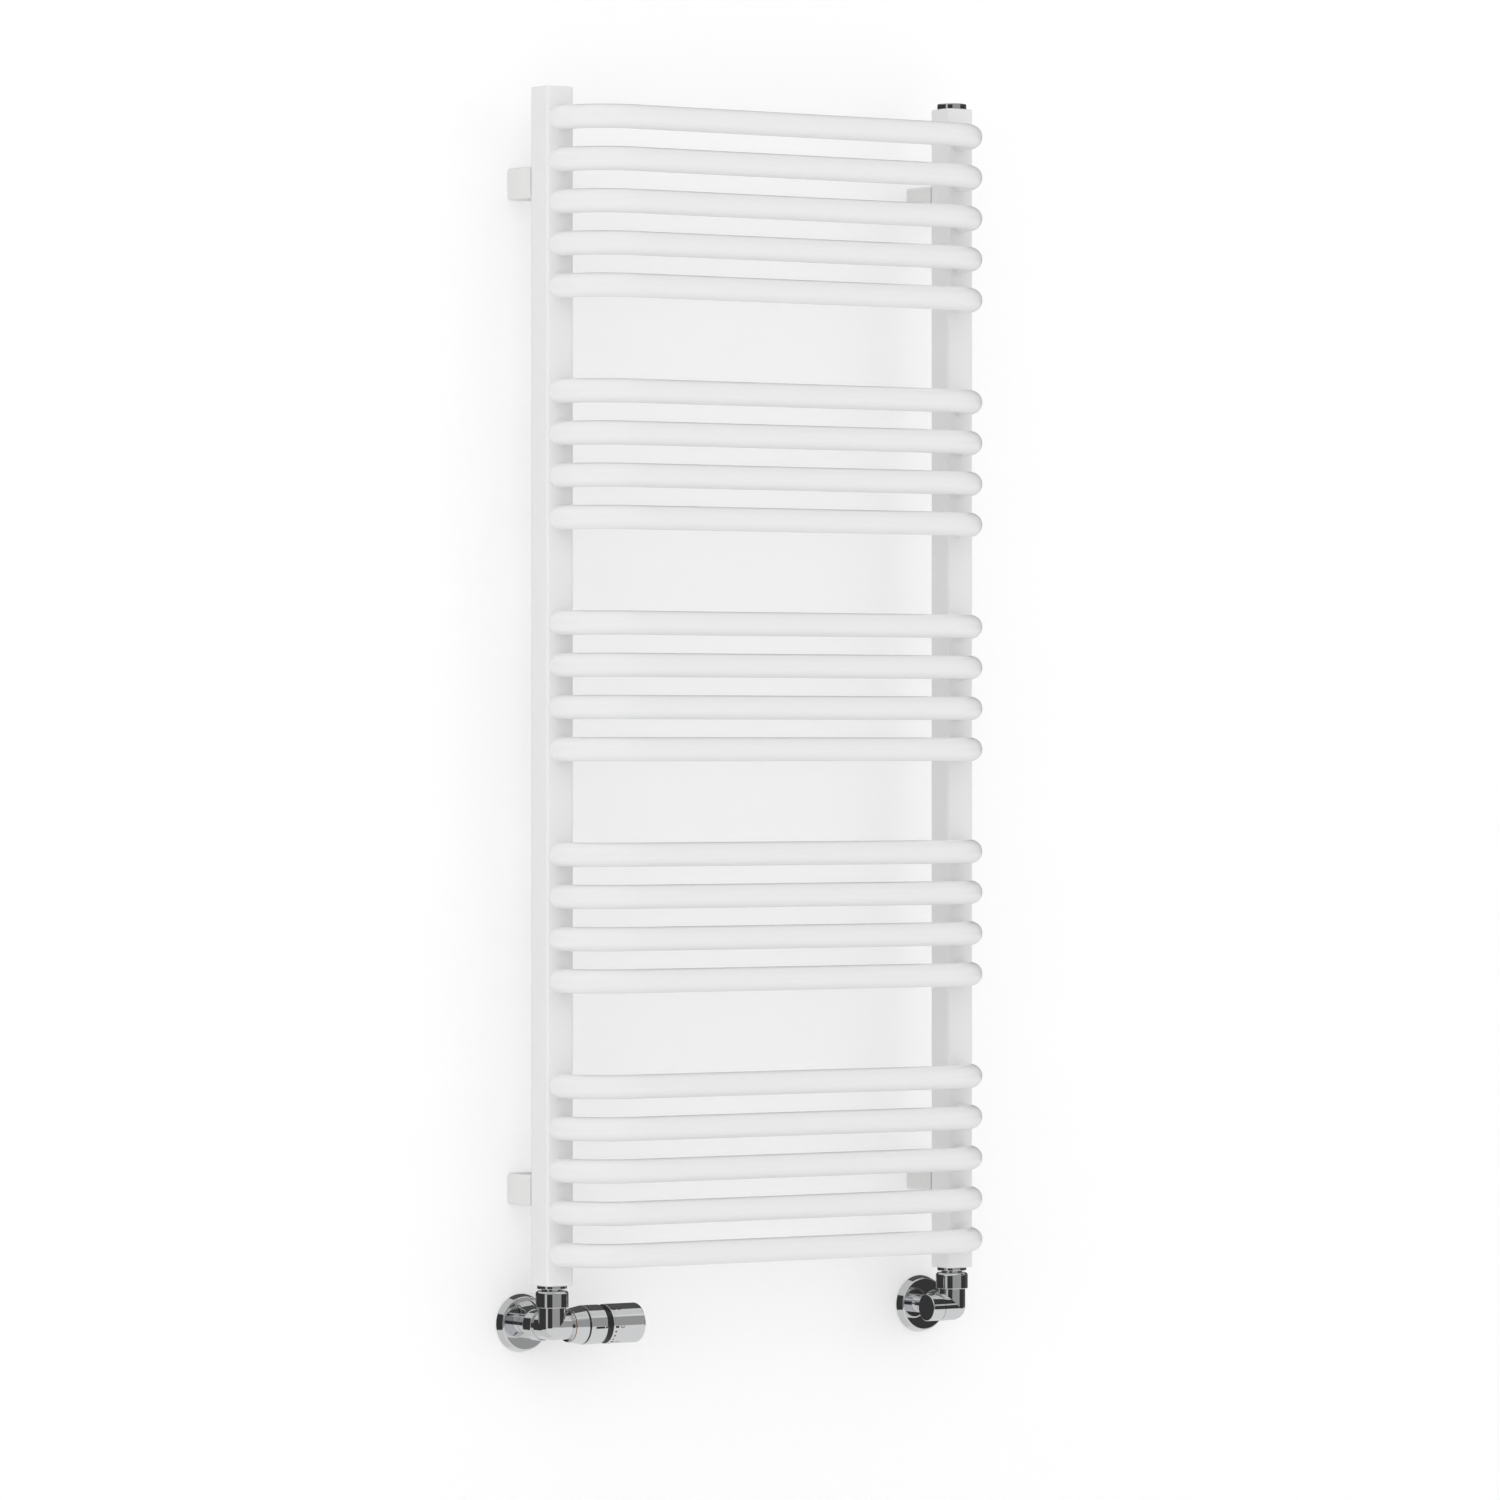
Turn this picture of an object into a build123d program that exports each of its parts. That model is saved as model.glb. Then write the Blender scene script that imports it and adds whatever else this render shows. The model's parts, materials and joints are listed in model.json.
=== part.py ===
"""Towel radiator with corner valves: a ladder of bent steel tubes on two square uprights.

Millimetres, +Z up, the front faces -Y. The wall is the plane Y = 0 and the origin is the
centre of the four bracket fixings on it.
"""
import os

from build123d import *

os.makedirs("parts", exist_ok=True)

# Ladder: driving dimensions
upright_size = 30.0
upright_height = 1140.0
upright_spacing = 470.0
upright_wall = 2.0
upright_corner = 3.0
upright_end = 4.0
end_round = 1.2
wall_gap = 40.0
tube_d = 23.0
tube_wall = 1.5
bend_radius = 50.0
tube_pitch = 40.0
group_gap = 100.0
group_counts = [5, 4, 4, 4, 5]
tube_margin = 30.0

# Brackets
bracket_height = 960.0
bracket_joint = 0.5
bracket_wall = 2.5
plate_length = 20.0
plate_floor = 5.0
screw_hole_d = 6.5
stud_d = 8.0
stud_head_d = 15.6
grub_d = 5.0

# Fits
slide_fit = 0.3
thread_fit = 0.05
run_fit = 0.05

# Valves: distances are from the point where the three ports meet
valve_drop = 39.0
port_r = 13.2
port_length = 16.4
bore_r = 6.5
chamber_r = 9.0
seat_r = 5.0
seat_x = 0.5
socket_thread_r = 10.2
socket_depth = 12.0
tail_collar_r = 14.25
tail_collar = 3.3
tail_neck_r = 10.0
nut_r = 15.7
nut_length = 16.0
nut_round = 3.0
union_thread_r = 12.0
seal_thick = 2.0
pipe_bore_r = 7.6
rear_port = 15.0
rear_thread_r = 11.0
rear_thread = 8.0
clamp_nut_r = 15.0
clamp_nut_end = 30.0
sleeve_r = 9.0
rosette_back_r = 28.0
rosette_front_r = 25.5
rosette_depth = 9.0
rosette_skin = 1.5

# Thermostatic head, distances along its axis from the same point
adapter_r = 16.0
collar_start = 18.4
collar_end = 32.0
collar_end_r = 18.5
gap_ring_end = 33.5
gap_ring_r = 17.6
marker_end = 52.0
marker_r = 18.75
band_end = 58.0
band_r = 18.2
knob_end = 95.0
knob_r = 19.0
knob_round = 3.5
knob_wall = 2.0
sensor_r = 10.0
cap_end = 31.0
vent_flange = 5.4
vent_flange_r = 14.3

# Derived places
upright_back = -wall_gap
upright_mid = upright_back - upright_size / 2
upright_front = upright_back - upright_size
tube_y = upright_front - bend_radius
side_x = upright_spacing / 2
half_height = upright_height / 2
valve_z = -half_height - valve_drop
bracket_z = bracket_height / 2
wall_run = -upright_mid
sides = {"left": -1, "right": 1}
supply = Vector(-side_x, upright_mid, valve_z)
outlet = Vector(side_x, upright_mid, valve_z)
port_z = valve_drop

# The tubes start a margin from each end of the uprights; the outer gaps take what is left over
tube_heights = []
gaps = len(group_counts) - 1
steps = sum(group_counts) - 1 - gaps
outer_gap = (upright_height - 2 * tube_margin - steps * tube_pitch - (gaps - 2) * group_gap) / 2
level = half_height - tube_margin
for group, count in enumerate(group_counts):
    for index in range(count):
        tube_heights.append(level)
        level -= tube_pitch
    level += tube_pitch - (outer_gap if group in (0, gaps - 1) else group_gap)


def axis_plane(origin, along):
    """A sketch plane whose normal points along the given direction."""
    return Plane(origin=origin, z_dir=along)


def rod(origin, along, start, end, radius, mode=Mode.ADD):
    """A cylinder on an axis, between two distances from its origin."""
    with BuildSketch(axis_plane(origin, along).offset(start)) as disc:
        Circle(radius)
    extrude(disc.sketch, amount=end - start, mode=mode)


def turned(origin, along, outline, mode=Mode.ADD):
    """Turn a closed outline of (distance, radius) points about an axis."""
    along = Vector(*along)
    normal = (0, 1, 0) if abs(along.Z) > 0.5 else (0, 0, 1)
    with BuildSketch(Plane(origin=origin, x_dir=along, z_dir=normal)) as profile:
        with BuildLine():
            Polyline(*outline, close=True)
        make_face()
    revolve(profile.sketch, axis=Axis(origin, along), mode=mode)


def finish(piece, name):
    """Label a finished piece and write its file."""
    piece.part.label = name
    export_step(piece.part, f"parts/{name}.step")


UP = (0, 0, 1)
BACK = (0, 1, 0)
FORE = (0, -1, 0)
RIGHT = (1, 0, 0)
LEFT = (-1, 0, 0)

# Crossbars: one bent tube each, butted on the front faces of both uprights
for number, height in enumerate(tube_heights, start=1):
    with BuildPart() as crossbar:
        with BuildLine(Plane.XY.offset(height)):
            inner_x = side_x - bend_radius
            RadiusArc((-side_x, upright_front), (-inner_x, tube_y), -bend_radius)
            Line((-inner_x, tube_y), (inner_x, tube_y))
            RadiusArc((inner_x, tube_y), (side_x, upright_front), -bend_radius)
        with BuildSketch(axis_plane((-side_x, upright_front, height), FORE)):
            Circle(tube_d / 2)
            Circle(tube_d / 2 - tube_wall, mode=Mode.SUBTRACT)
        sweep()
    finish(crossbar, f"crossbar_{number:02d}")

# Uprights: square tube with welded ends, threaded sockets and weld nuts for the studs
for side, sign in sides.items():
    x = sign * side_x
    foot = (x, upright_mid, -half_height)
    head = (x, upright_mid, half_height)
    inner = upright_size - 2 * upright_wall
    with BuildPart() as upright:
        with BuildSketch(Plane.XY.offset(-half_height)):
            with Locations((x, upright_mid)):
                RectangleRounded(upright_size, upright_size, upright_corner)
        extrude(amount=upright_height)
        ends = upright.faces().sort_by(Axis.Z)
        fillet(ends[0].edges() + ends[-1].edges(), end_round)
        with BuildSketch(Plane.XY.offset(-half_height + upright_end)):
            with Locations((x, upright_mid)):
                RectangleRounded(inner, inner, upright_corner - 1)
        extrude(amount=upright_height - 2 * upright_end, mode=Mode.SUBTRACT)
        for height in tube_heights:
            spot = (x, upright_front, height)
            rod(spot, BACK, 0, upright_wall, tube_d / 2 - tube_wall, Mode.SUBTRACT)
        socket = socket_thread_r + thread_fit
        rod(foot, UP, upright_end - 0.5, socket_depth + 2, socket + 2)
        rod(foot, UP, 0, socket_depth + 2, socket, Mode.SUBTRACT)
        if side == "right":
            rod(head, (0, 0, -1), upright_end - 0.5, socket_depth + 2, socket + 2)
            rod(head, (0, 0, -1), 0, socket_depth + 2, socket, Mode.SUBTRACT)
        for rise in (-bracket_z, bracket_z):
            spot = (x, upright_back, rise)
            rod(spot, FORE, upright_wall - 0.5, 8, stud_d)
            rod(spot, FORE, 0, 8, stud_d / 2 + thread_fit, Mode.SUBTRACT)
    finish(upright, f"{side}_upright")

# Brackets: a hollow square sleeve over a wall plate, hung on a stud and locked by a grub screw
corners = []
for level_name, rise in (("upper", bracket_z), ("lower", -bracket_z)):
    for side, sign in sides.items():
        corners.append((f"{level_name}_{side}", sign * side_x, rise))
sleeve_length = wall_gap - bracket_joint
sleeve_room = upright_size - 2 * bracket_wall
grub_y = -plate_length * 0.72
for name, x, rise in corners:
    with BuildPart() as cover:
        wall_face = Plane(origin=(x, 0, rise), x_dir=(1, 0, 0), z_dir=FORE)
        with BuildSketch(wall_face):
            RectangleRounded(upright_size, upright_size, upright_corner)
        extrude(amount=sleeve_length)
        fillet(cover.faces().sort_by(Axis.Y)[0].edges(), 0.6)
        with BuildSketch(wall_face):
            RectangleRounded(sleeve_room, sleeve_room, 1.0)
        extrude(amount=sleeve_length - bracket_wall, mode=Mode.SUBTRACT)
        rod((x, 0, rise), FORE, 0, wall_gap, stud_d / 2 + slide_fit, Mode.SUBTRACT)
        rod((x, grub_y, rise), (0, 0, -1), 0, upright_size, grub_d / 2 + 0.1, Mode.SUBTRACT)
    finish(cover, f"bracket_{name}")

plate_side = sleeve_room - 2 * thread_fit
with BuildPart() as plates:
    for name, x, rise in corners:
        wall_face = Plane(origin=(x, 0, rise), x_dir=(1, 0, 0), z_dir=FORE)
        with BuildSketch(wall_face):
            RectangleRounded(plate_side, plate_side, 1.0 - thread_fit)
        extrude(amount=plate_length)
        rod((x, 0, rise), FORE, plate_floor, plate_length, stud_head_d / 2 + 0.1, Mode.SUBTRACT)
        rod((x, 0, rise), FORE, 0, plate_floor, screw_hole_d / 2, Mode.SUBTRACT)
        rod((x, grub_y, rise), (0, 0, -1), 0, upright_size, grub_d / 2 + thread_fit, Mode.SUBTRACT)
finish(plates, "wall_plates")

stud_head_r = stud_head_d / 2
with BuildPart() as studs:
    for name, x, rise in corners:
        outline = [
            (plate_floor + 6, 0),
            (plate_floor + 6, stud_head_r),
            (plate_length + 4, stud_head_r),
            (plate_length + 4, stud_d / 2),
            (sleeve_length, stud_d / 2),
            (sleeve_length, stud_d),
            (wall_gap, stud_d),
            (wall_gap, stud_d / 2),
            (wall_gap + 7, stud_d / 2),
            (wall_gap + 7, 0),
        ]
        turned((x, 0, rise), FORE, outline)
finish(studs, "bracket_studs")

with BuildPart() as grubs:
    for name, x, rise in corners:
        spot = (x, grub_y, rise)
        rod(spot, (0, 0, -1), stud_head_r + 0.05, upright_size / 2 - 0.8, grub_d / 2)
        with BuildSketch(axis_plane(spot, (0, 0, -1)).offset(upright_size / 2 - 0.8)):
            RegularPolygon(1.4, 6)
        extrude(amount=-2.5, mode=Mode.SUBTRACT)
finish(grubs, "grub_screws")

# Unions: tail screwed into each upright, drawn on to the valve by a captive round nut
nut_top = port_z - tail_collar - 1.7
nut_bottom = nut_top - nut_length
shoulder = nut_top - 3.6
flange_low = shoulder - 3.6
seat_top = flange_low - seal_thick
valves = {"supply": (supply, 1), "return": (outlet, -1)}
with BuildPart() as tails:
    for centre, toward in valves.values():
        outline = [
            (flange_low, bore_r),
            (flange_low, union_thread_r - 0.3),
            (shoulder, union_thread_r - 0.3),
            (shoulder, tail_neck_r),
            (port_z - tail_collar, tail_neck_r),
            (port_z - tail_collar, tail_collar_r - 0.5),
            (port_z - tail_collar + 0.5, tail_collar_r),
            (port_z - 0.5, tail_collar_r),
            (port_z, tail_collar_r - 0.5),
            (port_z, socket_thread_r),
            (port_z + socket_depth, socket_thread_r),
            (port_z + socket_depth, bore_r),
        ]
        turned(centre, UP, outline)
finish(tails, "union_tails")

with BuildPart() as nuts:
    for centre, toward in valves.values():
        outline = [
            (nut_bottom, union_thread_r + thread_fit),
            (nut_bottom, nut_r - 0.6),
            (nut_bottom + 0.6, nut_r),
            (nut_top, nut_r),
            (nut_top, tail_neck_r + slide_fit),
            (shoulder, tail_neck_r + slide_fit),
            (shoulder, union_thread_r + thread_fit),
        ]
        turned(centre, UP, outline)
    rims = nuts.edges().filter_by(GeomType.CIRCLE).group_by(Axis.Z)[-1]
    fillet(rims.filter_by(lambda rim: rim.radius > nut_r - 0.1), nut_round)
finish(nuts, "union_nuts")

# Seal rings: one in each union and one under the vent plug
vent_base = (side_x, upright_mid, half_height)
with BuildPart() as seals:
    for centre, toward in valves.values():
        outline = [
            (seat_top, bore_r + 0.5),
            (seat_top, union_thread_r - 0.5),
            (flange_low, union_thread_r - 0.5),
            (flange_low, bore_r + 0.5),
        ]
        turned(centre, UP, outline)
    outline = [
        (0, socket_thread_r + 0.3),
        (0, socket_thread_r + 2.3),
        (1.5, socket_thread_r + 2.3),
        (1.5, socket_thread_r + 0.3),
    ]
    turned(vent_base, UP, outline)
finish(seals, "seal_rings")

# Valve bodies: three equal barrels meeting in a ball, with a seat across the head bore
aside = Vector(1, 0, 0)
with BuildPart() as body:
    with Locations(supply):
        Sphere(port_r)
    rod(supply, UP, 0, nut_bottom - 0.4, port_r)
    rod(supply, UP, 0, seat_top, union_thread_r)
    rod(supply, RIGHT, 0, port_length, port_r)
    rod(supply, BACK, 0, rear_port, port_r)
    rod(supply, BACK, 0, rear_port + rear_thread, rear_thread_r)
    rod(supply, RIGHT, seat_x, port_length, chamber_r, Mode.SUBTRACT)
    rod(supply, RIGHT, -2, seat_x, seat_r, Mode.SUBTRACT)
    rod(supply, RIGHT, -9, -2, seat_r + 1, Mode.SUBTRACT)
    rod(supply - aside * 5.2, BACK, 0, 12, 3.8, Mode.SUBTRACT)
    rod(supply, BACK, 9.5, rear_port + rear_thread, pipe_bore_r, Mode.SUBTRACT)
    rod(supply + aside * 5, UP, 0, 12, 4, Mode.SUBTRACT)
    rod(supply, UP, 10, seat_top, bore_r, Mode.SUBTRACT)
finish(body, "supply_valve_body")

with BuildPart() as return_body:
    mirror(body.part, about=Plane.YZ)
finish(return_body, "return_valve_body")

# Wall side of each valve: olive, round clamp nut, pipe sleeve and loose rosette
olive_start = rear_port + rear_thread
olive_end = clamp_nut_end - 2
with BuildPart() as olives:
    for centre, toward in valves.values():
        outline = [
            (olive_start, pipe_bore_r),
            (olive_start, pipe_bore_r + 1.4),
            (olive_start + 2, pipe_bore_r + 2),
            (olive_end, pipe_bore_r + 2),
            (olive_end, pipe_bore_r),
        ]
        turned(centre, BACK, outline)
finish(olives, "olives")

with BuildPart() as clamps:
    for centre, toward in valves.values():
        outline = [
            (rear_port + 0.2, rear_thread_r + thread_fit),
            (rear_port + 0.2, clamp_nut_r - 0.6),
            (rear_port + 0.8, clamp_nut_r),
            (clamp_nut_end - 1.5, clamp_nut_r),
            (clamp_nut_end, clamp_nut_r - 1.5),
            (clamp_nut_end, pipe_bore_r),
            (olive_end, pipe_bore_r),
            (olive_end, rear_thread_r + thread_fit),
        ]
        turned(centre, BACK, outline)
finish(clamps, "clamp_nuts")

with BuildPart() as sleeves:
    for centre, toward in valves.values():
        outline = [
            (clamp_nut_end, pipe_bore_r),
            (clamp_nut_end, sleeve_r),
            (wall_run, sleeve_r),
            (wall_run, pipe_bore_r),
        ]
        turned(centre, BACK, outline)
finish(sleeves, "pipe_sleeves")

face = wall_run - rosette_depth
for name, (centre, toward) in valves.items():
    hub_r = sleeve_r + 2
    with BuildPart() as rosette:
        outline = [
            (face, sleeve_r + run_fit),
            (face, rosette_front_r),
            (face + 2, rosette_front_r + 1.2),
            (wall_run, rosette_back_r),
            (wall_run, rosette_back_r - rosette_skin),
            (face + 2, rosette_front_r + 1.2 - rosette_skin),
            (face + rosette_skin, rosette_front_r - rosette_skin),
            (face + rosette_skin, hub_r),
            (wall_run - 1, hub_r),
            (wall_run - 1, sleeve_r + run_fit),
        ]
        turned(centre, BACK, outline)
        rims = rosette.edges().filter_by(GeomType.CIRCLE).group_by(Axis.Y)[0]
        fillet(rims.filter_by(lambda rim: rim.radius > sleeve_r + 5), 1.2)
    finish(rosette, f"{name}_rosette")

# Thermostatic insert: brass carrier, gland, spring-loaded spindle and rubber washer
insert_in = chamber_r
insert_flange = port_length + 2.5
pin_r = 2.0
spring_r = 3.6
wire_r = 0.3
collar_in = 14.5
with BuildPart() as insert:
    outline = [
        (insert_in, pin_r + run_fit),
        (insert_in, chamber_r - thread_fit),
        (port_length, chamber_r - thread_fit),
        (port_length, 10.9),
        (insert_flange, 10.9),
        (insert_flange, 5.5),
        (insert_in + 1.2, 5.5),
        (insert_in + 1.2, pin_r + run_fit),
    ]
    turned(supply, RIGHT, outline)
finish(insert, "valve_insert")

with BuildPart() as gland:
    outline = [
        (insert_flange - 2, pin_r + run_fit),
        (insert_flange - 2, 5.5 - thread_fit),
        (insert_flange, 5.5 - thread_fit),
        (insert_flange, 7.5),
        (insert_flange + 2.5, 7.5),
        (insert_flange + 2.5, 5),
        (insert_flange + 6, 5),
        (insert_flange + 6, pin_r + run_fit),
    ]
    turned(supply, RIGHT, outline)
finish(gland, "insert_gland")

washer_in = seat_x + 1.6
disc_in = washer_in + 1.5
pin_end = 29.5
with BuildPart() as spindle:
    outline = [
        (disc_in, 0),
        (disc_in, 6.5),
        (disc_in + 1.2, 6.5),
        (disc_in + 1.2, pin_r),
        (collar_in, pin_r),
        (collar_in, 4.8),
        (collar_in + 1, 4.8),
        (collar_in + 1, pin_r),
        (pin_end, pin_r),
        (pin_end, 0),
    ]
    turned(supply, RIGHT, outline)
finish(spindle, "valve_spindle")

with BuildPart() as washer:
    rod(supply, RIGHT, washer_in, disc_in, 6.5)
finish(washer, "valve_washer")

spring_in = insert_in + 1.2 + wire_r + 0.05
spring_out = collar_in - wire_r - 0.05
turns = 3
spring_start = supply + Vector(spring_in, 0, 0)
with BuildPart() as spring:
    with BuildLine() as coil:
        Helix(
            pitch=(spring_out - spring_in) / turns,
            height=spring_out - spring_in,
            radius=spring_r,
            center=spring_start,
            direction=RIGHT,
        )
    with BuildSketch(Plane(origin=coil.line @ 0, z_dir=coil.line % 0)):
        Circle(wire_r)
    sweep(is_frenet=True)
finish(spring, "spindle_spring")

# Thermostatic head: brass adapter, cone collar, clip, guide core, marker ring, knob and sensor
adapter_thread = 14.4
adapter_end = 25.0
with BuildPart() as adapter:
    outline = [
        (port_length, 11),
        (port_length, adapter_r),
        (collar_start - 0.2, adapter_r),
        (collar_start - 0.2, adapter_thread),
        (adapter_end, adapter_thread),
        (adapter_end, 11),
    ]
    turned(supply, RIGHT, outline)
finish(adapter, "head_adapter")

clip_end = adapter_end + 2.3
neck_r = 12.0
with BuildPart() as collar:
    outline = [
        (collar_start, adapter_thread + thread_fit),
        (collar_start, adapter_r),
        (collar_end, collar_end_r),
        (collar_end, neck_r + slide_fit),
        (clip_end, neck_r + slide_fit),
        (clip_end, adapter_thread + thread_fit),
    ]
    turned(supply, RIGHT, outline)
finish(collar, "head_collar")

with BuildPart() as clip:
    outline = [
        (adapter_end, neck_r - 1 + thread_fit),
        (adapter_end, adapter_thread - 0.4),
        (clip_end, adapter_thread - 0.4),
        (clip_end, neck_r - 1 + thread_fit),
    ]
    turned(supply, RIGHT, outline)
finish(clip, "collar_clip")

guide_r = sensor_r + slide_fit
tube_r = sensor_r + 3.5
guide_end = 72.0
web_start = band_end + slide_fit
web_end = web_start + 5.0
lip = web_end + slide_fit
push_r = 3.0
rib_in = 50.0
rib_out = 60.0
with BuildPart() as core:
    outline = [
        (adapter_end, 8),
        (adapter_end, neck_r - 1),
        (clip_end, neck_r - 1),
        (clip_end, neck_r),
        (collar_end + 0.2, neck_r),
        (collar_end + 0.2, gap_ring_r),
        (gap_ring_end, gap_ring_r),
        (gap_ring_end, marker_r - 1.5),
        (marker_end, marker_r - 1.5),
        (marker_end, band_r),
        (band_end, band_r),
        (band_end, tube_r),
        (lip, tube_r),
        (lip, tube_r + 0.7),
        (lip + 1.2, tube_r),
        (guide_end, tube_r),
        (guide_end, guide_r),
        (42, guide_r),
        (42, push_r + slide_fit),
        (31, push_r + slide_fit),
        (31, 8),
    ]
    turned(supply, RIGHT, outline)
    slot = Plane(origin=supply + Vector(42, 0, 0), x_dir=(0, 1, 0), z_dir=RIGHT)
    with BuildSketch(slot):
        with Locations((0, sensor_r)):
            Rectangle(2 + 2 * slide_fit, 3.2)
    extrude(amount=guide_end - 42, mode=Mode.SUBTRACT)
finish(core, "head_core")

with BuildPart() as marker:
    outline = [
        (gap_ring_end, marker_r - 1.5 + thread_fit),
        (gap_ring_end, marker_r - 0.4),
        (gap_ring_end + 0.4, marker_r),
        (marker_end - 0.4, marker_r),
        (marker_end, marker_r - 0.4),
        (marker_end, marker_r - 1.5 + thread_fit),
    ]
    turned(supply, RIGHT, outline)
finish(marker, "marker_ring")

hub_start = guide_end + 3
knob_floor = knob_end - 3
with BuildPart() as knob:
    outline = [
        (web_start, tube_r + run_fit),
        (web_start, knob_r - 0.4),
        (web_start + 0.4, knob_r),
        (knob_end, knob_r),
        (knob_end, 0),
        (knob_floor, 0),
        (knob_floor, sensor_r + run_fit),
        (hub_start, sensor_r + run_fit),
        (hub_start, sensor_r + 2),
        (knob_floor, sensor_r + 2),
        (knob_floor, knob_r - knob_wall),
        (web_end, knob_r - knob_wall),
        (web_end, tube_r + run_fit),
    ]
    turned(supply, RIGHT, outline)
    fillet(knob.edges().filter_by(GeomType.CIRCLE).group_by(Axis.X)[-1], knob_round)
finish(knob, "thermostat_knob")

with BuildPart() as sensor:
    outline = [
        (pin_end, 0),
        (pin_end, push_r),
        (45, push_r),
        (45, sensor_r),
        (knob_floor - 3.5, sensor_r),
        (knob_floor - 3.5, 0),
    ]
    turned(supply, RIGHT, outline)
    with BuildSketch(Plane(origin=supply + Vector(rib_in, 0, 0), x_dir=(0, 1, 0), z_dir=RIGHT)):
        with Locations((0, sensor_r)):
            Rectangle(2, 2.4)
    extrude(amount=rib_out - rib_in)
finish(sensor, "sensor_capsule")

# Lockshield on the return side: gland, turning spindle, sliding cone and pull-off cap
gland_end = port_length + 3
with BuildPart() as shield_gland:
    outline = [
        (insert_in, 3 + run_fit),
        (insert_in, chamber_r - thread_fit),
        (port_length, chamber_r - thread_fit),
        (port_length, 10.9),
        (gland_end, 10.9),
        (gland_end, 6),
        (gland_end + 4, 6),
        (gland_end + 4, 3 + run_fit),
    ]
    turned(outlet, LEFT, outline)
finish(shield_gland, "lockshield_gland")

with BuildPart() as shield_spindle:
    outline = [
        (4.5, 0),
        (4.5, 3),
        (insert_in - 1.1, 3),
        (insert_in - 1.1, 4.5),
        (insert_in - 0.1, 4.5),
        (insert_in - 0.1, 3),
        (26, 3),
        (26, 0),
    ]
    turned(outlet, LEFT, outline)
    with BuildSketch(axis_plane(outlet, LEFT).offset(26)):
        RegularPolygon(2.1, 6)
    extrude(amount=-4, mode=Mode.SUBTRACT)
finish(shield_spindle, "lockshield_spindle")

with BuildPart() as cone:
    outline = [
        (seat_x + 0.7, 0),
        (seat_x + 0.7, seat_r - 0.6),
        (4, seat_r + 2),
        (7, seat_r + 2),
        (7, 3 + run_fit),
        (2.5, 3 + run_fit),
        (2.5, 0),
    ]
    turned(outlet, LEFT, outline)
finish(cone, "lockshield_cone")

with BuildPart() as cap:
    outline = [
        (port_length + 0.2, 10.9 + run_fit),
        (port_length + 0.2, port_r - 0.3),
        (port_length + 0.5, port_r),
        (cap_end - 0.8, port_r),
        (cap_end, port_r - 0.8),
        (cap_end, 0),
        (cap_end - 2.5, 0),
        (cap_end - 2.5, 10.9 + run_fit),
    ]
    turned(outlet, LEFT, outline)
finish(cap, "lockshield_cap")

# Air vent on top of the right upright: flanged plug with a slotted bleed screw
screw_r = 2.5
screw_head_r = 4.0
recess = 3.0
with BuildPart() as plug:
    outline = [
        (-socket_depth, screw_r + run_fit),
        (-socket_depth, socket_thread_r),
        (1.5, socket_thread_r),
        (1.5, socket_thread_r + 2.5),
        (0, socket_thread_r + 2.5),
        (0, vent_flange_r),
        (vent_flange - 0.8, vent_flange_r),
        (vent_flange, vent_flange_r - 0.8),
        (vent_flange, screw_head_r + slide_fit),
        (vent_flange - recess, screw_head_r + slide_fit),
        (vent_flange - recess, screw_r + run_fit),
    ]
    turned(vent_base, UP, outline)
finish(plug, "vent_plug")

with BuildPart() as bleed:
    outline = [
        (-socket_depth + 1, 0),
        (-socket_depth + 1, screw_r),
        (vent_flange - recess, screw_r),
        (vent_flange - recess, screw_head_r),
        (vent_flange - 0.4, screw_head_r),
        (vent_flange - 0.4, 0),
    ]
    turned(vent_base, UP, outline)
    slot_top = Plane(origin=(side_x, upright_mid, half_height + vent_flange - 0.4), z_dir=UP)
    with BuildSketch(slot_top):
        Rectangle(2 * screw_head_r + 1, 1.2)
    extrude(amount=-1.4, mode=Mode.SUBTRACT)
finish(bleed, "bleed_screw")

print("tubes", len(tube_heights), "from", tube_heights[0], "to", tube_heights[-1])
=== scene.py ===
# %% [markdown]
# # A white towel radiator with chrome corner valves
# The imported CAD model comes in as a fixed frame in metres. X runs to the right along the crossbars,
# the front faces -Y, Z is up, and the wall is the plane Y = 0. This file dresses that frame: smooth
# tubes with their weld beads, turned chrome fittings, the scale on the thermostatic head, finishes,
# a wall to hang on, light and a camera.

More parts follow.
